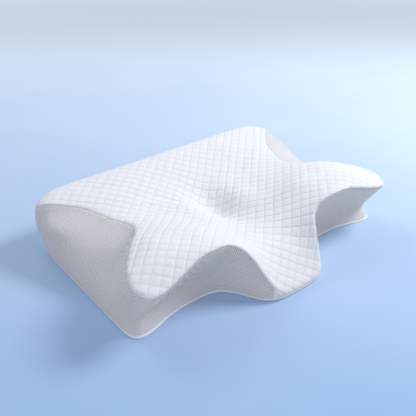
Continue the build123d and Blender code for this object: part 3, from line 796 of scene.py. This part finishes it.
def build_quilted_top():
    u = cover_stations()
    mer = Meridian(u)
    back, nose, bay = in_back(u), in_nose(u), in_bay(u)
    wrapped = (back | nose)[:, None]        # here the cover runs on down the wall
    n_cap = 112
    n_wrap = 40
    n_low = 12

    # rows: top, rim down to the seam, wall down to the zip bay, foot of the wall
    s_end = mer.s_of_z(4.7)
    s_bay = mer.s_of_z(BAY_TOP + 0.3)
    s_mid = np.where(back, s_bay, SEAM_DROP + (s_end - SEAM_DROP) * 0.7)
    s_mid = np.maximum(s_mid, SEAM_DROP + 1.0)
    s_foot = np.maximum(s_end, s_mid + 1.0)
    wrap = np.linspace(0, 1, n_wrap + 1)[1:]
    low = np.linspace(0, 1, n_low + 1)[1:]
    s = np.concatenate([
        mer.arc[:, 0][:, None] * (1 - np.linspace(0, 1, n_cap)),
        np.repeat(np.linspace(0, SEAM_DROP, 5)[None, 1:], len(u), 0),
        SEAM_DROP + (s_mid - SEAM_DROP)[:, None] * wrap,
        s_mid[:, None] + (s_foot - s_mid)[:, None] * low], 1)
    points = mer.smooth(s)
    cloth = cover_cloth(mer, s, points, back[:, None], nose[:, None])

    normals = grid_normals(points, True)
    normals[:, 0] = (0, 0, 1)
    low_gap = np.where(bay, s_bay, s_end)[:, None] - s
    all_u = np.repeat(u[:, None], s.shape[1], 1)
    height = cover_height(all_u, s, cloth, low_gap, wrapped)
    points = points + normals * height[..., None]

    cell_u = u + np.roll(u, -1)
    cell_u[-1] += U_ALL
    cell_u /= 2
    back, nose, bay = in_back(cell_u), in_nose(cell_u), in_bay(cell_u)
    to_seam = n_cap + 3
    keep = np.zeros((len(u), s.shape[1] - 1), bool)
    keep[:, :to_seam] = True
    keep[back | nose, :to_seam + n_wrap] = True
    keep[(back & ~bay) | nose, :] = True
    ob = grid_object("quilted_top_cover", points, cloth, True, keep, hem=3.6, pole=True)
    register(ob, QUILT_KNIT, "white_knit", "quilt_face", "quilt_wadding", "quilt_backing")


# ======================================= mesh side panels =======================================
def build_mesh_panel(name, u_from, u_to, cad_name):
    hole_radius = 0.36      # in cells
    hole_depth = 0.42
    n = int((u_to - u_from) / (1.3))
    m = 88
    u = np.linspace(u_from, u_to, n)
    mer = Meridian(u)
    low = mer.s_of_z(4.6)
    start = SEAM_DROP + 0.15
    s = start + (low - SEAM_DROP - 0.15)[:, None] * np.linspace(0, 1, m)
    p = mer.smooth(s)
    uu = np.repeat(u[:, None], m, 1)
    up = low[:, None] - s       # distance up the wall from the lower edge
    gap = np.minimum(s - SEAM_DROP, np.minimum(uu - u_from, u_to - uu))

    gx, gy = uu / CELL_X, up / CELL_Y
    cx = (gx + 0.5 * (np.floor(gy) % 2)) % 1 - 0.5
    cy = gy % 1 - 0.5
    cell = np.clip((hole_radius - np.sqrt((cx * 1.15) ** 2 + cy ** 2)) * 6, 0, 1)
    clear = smoothstep((gap - 0.8) / 2.0) * smoothstep((up - 0.5) / 2.0)
    height = 0.45 - hole_depth * cell * clear
    # soft folds, ripples near the seams, and edges drawn in
    height += fractal(uu, up, 31, 3, 0.02) * 0.55 * smoothstep(gap / 14) * smoothstep(up / 14)
    height += 0.35 * np.sin(uu * TURN / 13.0 + 1.3) * np.exp(-((gap - 5) / 5.0) ** 2)
    height -= 1.0 * np.exp(-(gap / 1.7) ** 2)
    height -= 0.5 * np.exp(-(up / 2.0) ** 2)
    p = p + grid_normals(p, False) * height[..., None]
    keep = np.ones((n - 1, m - 1), bool)
    ob = grid_object(name, p, np.stack([uu, up], 2), False, keep, hem=3.0)
    register(ob, AIR_MESH, "grey_air_mesh", cad_name)


# ================================== binding and bottom cloth ===================================
def build_binding():
    """Rounded strip round the foot of the wall."""
    stations, sides = 900, 14
    half_depth, half_height = 1.25, 2.5
    u = np.arange(stations) * (U_ALL / stations)
    ripple = 0.18 * np.sin(u * TURN / 3.6)
    rows = []
    for angle in np.linspace(0, TURN, sides, endpoint=False):
        depth = 1.1 - half_depth * math.cos(angle)
        z = half_height + half_height * math.sin(angle)
        xy = wall(u, z)
        inward = wall(u, z, 1.0) - xy
        inward /= np.linalg.norm(inward, axis=1)[:, None]
        # only the outer side ripples
        inset = depth - 0.35 + (ripple if depth < 1 else 0 * ripple)
        rows.append(np.column_stack([xy + inward * inset[:, None], np.full(stations, z)]))
    verts = np.stack(rows, 1).reshape(-1, 3)
    uv = np.column_stack([np.repeat(u, sides), np.tile(np.arange(sides) * 1.0, stations)])
    ob = make_object("base_edge_binding", verts, tube_faces(stations, sides, True), uv)
    register(ob, BINDING, "white_binding", "base_binding")


def build_bottom():
    """Flat underside: a faintly quilted lower face, a plain upper face and a rounded edge."""
    n = 300
    lower_z, upper_z = 0.05, 1.7
    puff, edge_round = 0.25, 0.5
    edge = wall(np.arange(n) * (U_ALL / n), 0.6, 2.4)
    radii = np.concatenate([np.linspace(0.04, 0.97, 34), [0.985, 1.0]])
    verts, uvs, faces = [], [], []
    for lower in (True, False):
        for r in radii:
            xy = CENTRE + (edge - CENTRE) * r
            turned = edge_round if r > 0.99 else 0.0
            if lower:
                bulge = puff * quilting(xy[:, 0], xy[:, 1]) * smoothstep((1 - r) / 0.03)
                z = lower_z + puff - bulge + turned
            else:
                z = np.full(n, upper_z - turned)
            verts.append(np.column_stack([xy, z]))
            uvs.append(xy)
    rings = len(radii)
    for off in (0, rings * n):
        turn = 1 if off == 0 else -1
        for j in range(rings - 1):
            a, b = off + j * n, off + (j + 1) * n
            for i in range(n):
                k = (i + 1) % n
                faces.append([a + i, a + k, b + k, b + i][::turn])
        faces.append([off + i for i in range(n)][::-turn])
    rim_low, rim_high = (rings - 1) * n, (2 * rings - 1) * n
    for i in range(n):
        k = (i + 1) % n
        faces.append([rim_low + i, rim_low + k, rim_high + k, rim_high + i])
    ob = make_object("bottom_cloth", np.vstack(verts), faces, np.vstack(uvs))
    face_outward(ob)
    register(ob, BOTTOM_KNIT, "bottom_cloth", "bottom_panel")


# ============================================= zip =============================================
TAPE_HALF = 238.4       # half length of the tapes
TAPE_GAP = 1.7          # from the zip's centre line to the edge of each tape
COIL_HALF = 221.5       # half length of the coils


def zip_point(x, up, out):
    """Point at x, up the slope and out from the zip's centre line; takes numbers or arrays."""
    outer = np.multiply.outer
    return ZIP_ORIGIN + outer(x, [1.0, 0, 0]) + outer(up, ZIP_UP) + outer(out, ZIP_OUT)


def build_tape(name, up_from, up_to, cad_name):
    columns, rows = 240, 12
    far = max(abs(up_from), abs(up_to))
    verts = []
    for out, rib_height in ((-2.28, 0.06), (-2.88, 0.0)):
        for x in np.linspace(-TAPE_HALF, TAPE_HALF, columns):
            # past the ends of the coil the two tapes are sewn together
            closed = float(smoothstep((abs(x) - 223.5) / 3.0))
            inner = TAPE_GAP * (1 - closed) + 0.05 * closed
            stretch = (far - inner) / (far - TAPE_GAP)
            for flat in np.linspace(up_from, up_to, rows):
                up = math.copysign(inner + (abs(flat) - TAPE_GAP) * stretch, flat)
                verts.append(zip_point(x, up, out + rib_height * math.sin(up * TURN / 1.9)))
    ob = make_object(name, verts, two_layer_faces(columns, rows))
    face_outward(ob)
    register(ob, TAPE, "zip_tape", cad_name)


def build_coil(name, side, cad_name):
    """A wound nylon coil laid along the edge of the tape; side is 1 above, -1 below."""
    pitch, steps_per_turn, sides = 1.27, 12, 6
    wire_radius = 0.3
    n = int(2 * COIL_HALF / pitch) * steps_per_turn
    t = np.arange(n + 1) / steps_per_turn
    angle = t * TURN + (0 if side > 0 else math.pi)
    centre = zip_point(-COIL_HALF + t * pitch, side * (1.93 - 1.0 * np.cos(angle)),
                       -1.05 + 0.72 * np.sin(angle))
    tangent = np.gradient(centre, axis=0)
    tangent /= np.linalg.norm(tangent, axis=1)[:, None]
    across = np.cross(tangent, np.array([1.0, 0, 0]))
    across /= np.linalg.norm(across, axis=1)[:, None]
    other = np.cross(tangent, across)
    phase = (np.arange(sides) * TURN / sides)[None, :, None]
    section = np.cos(phase) * across[:, None] + np.sin(phase) * other[:, None]
    verts = (centre[:, None] + wire_radius * section).reshape(-1, 3)
    faces = tube_faces(n + 1, sides, False)
    faces.append(list(range(sides))[::-1])
    faces.append([n * sides + j for j in range(sides)])
    register(make_object(name, verts, faces), NYLON, "zip_coil", cad_name)


def build_label():
    """Blank satin ribbon folded in a loop, sewn into the seam by the zip."""
    sewn_up, ribbon = 13.0, 27.0        # sewn end up the slope, and length down to the fold
    fold_radius, near_out = 0.45, 1.35
    fold_start, fold_end = 0.46, 0.54   # fractions of the path
    half_cloth = 0.08
    path = []
    for k in range(40):
        q = k / 39
        if q < fold_start:
            path.append((sewn_up - ribbon * q / fold_start, near_out))
        elif q < fold_end:
            angle = (q - fold_start) / (fold_end - fold_start) * math.pi
            path.append((sewn_up - ribbon - fold_radius * math.sin(angle),
                         near_out + fold_radius - fold_radius * math.cos(angle)))
        else:
            past = q - fold_end
            path.append((sewn_up - ribbon + ribbon * past / fold_start,
                         near_out + 2 * fold_radius - 0.5 * past))
    columns = np.linspace(252.4, 271.6, 10)
    verts = []
    for offset in (half_cloth, -half_cloth):
        for up, out in path:
            for x in columns:
                # the ribbon bows outward, more so toward its fold
                bow = 0.5 * math.sin((x - 252) / 20 * math.pi)
                lift = bow * max(0.0, (sewn_up - up) / ribbon)
                verts.append(zip_point(x, up, out + offset + lift))
    ob = make_object("blank_care_label", verts, two_layer_faces(len(path), len(columns)))
    face_outward(ob)
    register(ob, SATIN, "label_satin", "care_label")


build_quilted_top()
build_mesh_panel("air_mesh_panel_left", U_CORNER + 0.2, U_NOSE - 0.2, "side_panel_left")
build_mesh_panel("air_mesh_panel_right", U_ALL - U_NOSE + 0.2, U_ALL - U_CORNER - 0.2,
                 "side_panel_right")
build_binding()
build_bottom()
build_tape("zip_tape_top_strip", TAPE_GAP, 13.9, "zip_tape_upper")
build_tape("zip_tape_low_strip", -19.2, -TAPE_GAP, "zip_tape_lower")
build_coil("zip_coil_top_row", 1.0, "zip_coil_upper")
build_coil("zip_coil_low_row", -1.0, "zip_coil_lower")
build_label()

# pieces that keep their CAD shape
for name, material in (("zip_slider", METAL), ("zip_pull_tab", METAL), ("zip_top_stops", METAL),
                       ("zip_bottom_stop", METAL), ("liner_top", LINER),
                       ("liner_bottom", LINER), ("foam_core", FOAM)):
    wear(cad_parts[name], material)

# ============================== scene (places and sizes in metres) ==============================
BACKDROP = (0.68, 0.78, 0.90, 1)
FLOOR_NEAR_SHADED = (0.36, 0.54, 0.84, 1)
FLOOR_FAR_LIT = (0.72, 0.82, 0.95, 1)
FLOOR_BOUNCE = (0.62, 0.66, 0.74, 1)    # floor colour as the other rays meet it


def floor_material():
    shader = Shader("pale_floor")
    place = shader.add_node("ShaderNodeNewGeometry").outputs["Position"]
    # painted light falloff: the floor is painted darker near the viewer and paler with distance
    view = shader.add_node("ShaderNodeCameraData")
    patches = shader.noise(place, scale=2.2, detail=3.0)
    depth = shader.sub(shader.mul(view.outputs["View Z Depth"], 0.60), 0.395)
    uneven = shader.mul(shader.sub(patches, 0.5), 0.35)
    painted_falloff = shader.mix(shader.add(depth, uneven, clamp=True), FLOOR_NEAR_SHADED, FLOOR_FAR_LIT)
    seen = shader.add_node("ShaderNodeLightPath").outputs["Is Camera Ray"]
    shader.surface(Base_Color=shader.mix(seen, FLOOR_BOUNCE, painted_falloff), Roughness=0.95,
                   Specular_IOR_Level=0.1)
    # far away the floor runs into the pale backdrop without an edge
    length = shader.add_node("ShaderNodeVectorMath", operation="LENGTH")
    shader.feed(length.inputs[0], place)
    far = shader.add_node("ShaderNodeMapRange", interpolation_type="SMOOTHSTEP")
    far.inputs["From Min"].default_value = 1.0
    far.inputs["From Max"].default_value = 3.6
    shader.feed(far.inputs["Value"], length.outputs["Value"])
    glow = shader.add_node("ShaderNodeEmission")
    glow.inputs[0].default_value = BACKDROP
    both = shader.add_node("ShaderNodeMixShader")
    shader.feed(both.inputs[0], shader.mul(far.outputs[0], seen))
    shader.feed(both.inputs[1], shader.bsdf.outputs[0])
    shader.feed(both.inputs[2], glow.outputs[0])
    shader.feed(shader.output.inputs[0], both.outputs[0])
    return shader.material


def build_floor():
    bpy.ops.mesh.primitive_plane_add(size=14, location=(0, 0, -0.0005))
    floor = bpy.context.object
    floor.name = "studio_floor"
    floor.data.materials.append(floor_material())


def build_world():
    """Soft room light, with the plain backdrop shown to the camera."""
    world = bpy.data.worlds.new("soft_room")
    bpy.context.scene.world = world
    world.use_nodes = True
    nodes, links = world.node_tree.nodes, world.node_tree.links
    room = nodes["Background"]
    room.inputs["Color"].default_value = (0.86, 0.91, 1.0, 1)
    room.inputs["Strength"].default_value = 0.45
    backdrop = nodes.new("ShaderNodeBackground")
    backdrop.inputs["Color"].default_value = BACKDROP
    backdrop.inputs["Strength"].default_value = 1.0
    path = nodes.new("ShaderNodeLightPath")
    both = nodes.new("ShaderNodeMixShader")
    links.new(path.outputs["Is Camera Ray"], both.inputs[0])
    links.new(room.outputs[0], both.inputs[1])
    links.new(backdrop.outputs[0], both.inputs[2])
    links.new(both.outputs[0], nodes["World Output"].inputs[0])


def add_light(name, place, size, power, colour):
    """Disk light aimed just above the middle of the floor."""
    light = bpy.data.lights.new(name, "AREA")
    light.shape = "DISK"
    light.size = size
    light.energy = power
    light.color = colour
    ob = bpy.data.objects.new(name, light)
    bpy.context.scene.collection.objects.link(ob)
    ob.location = place
    aim = Vector((0, 0, 0.05)) - Vector(place)
    ob.rotation_euler = aim.to_track_quat("-Z", "Y").to_euler()


def add_camera():
    """Camera above the front left, placed by where it sees the origin."""
    azimuth, elevation = math.radians(-39.32), math.radians(30.52)
    origin_right, origin_up, origin_ahead = Vector((14.66, -52.04, 1201.37)) * MM
    back = Vector((math.sin(azimuth) * math.cos(elevation),
                   -math.cos(azimuth) * math.cos(elevation), math.sin(elevation)))
    right = Vector((math.cos(azimuth), math.sin(azimuth), 0))
    up = back.cross(right)
    place = -(right * origin_right + up * origin_up - back * origin_ahead)
    data = bpy.data.cameras.new("camera")
    data.sensor_width = 36.0
    data.lens = 49.507788
    data.clip_start = 0.05
    camera = bpy.data.objects.new("camera", data)
    bpy.context.scene.collection.objects.link(camera)
    axes = Matrix((right, up, back)).transposed().to_4x4()
    camera.matrix_world = Matrix.Translation(place) @ axes
    bpy.context.scene.camera = camera


build_floor()
build_world()
add_light("key", (1.55, -0.55, 1.55), size=0.9, power=34, colour=(1.0, 0.985, 0.96))
add_light("back", (-0.2, 1.7, 1.7), size=1.4, power=12, colour=(1.0, 1.0, 1.0))
add_light("fill", (-1.5, -1.0, 1.1), size=1.6, power=5, colour=(0.92, 0.95, 1.0))
add_camera()
bpy.context.scene.view_settings.view_transform = "Standard"

bpy.context.view_layer.update()
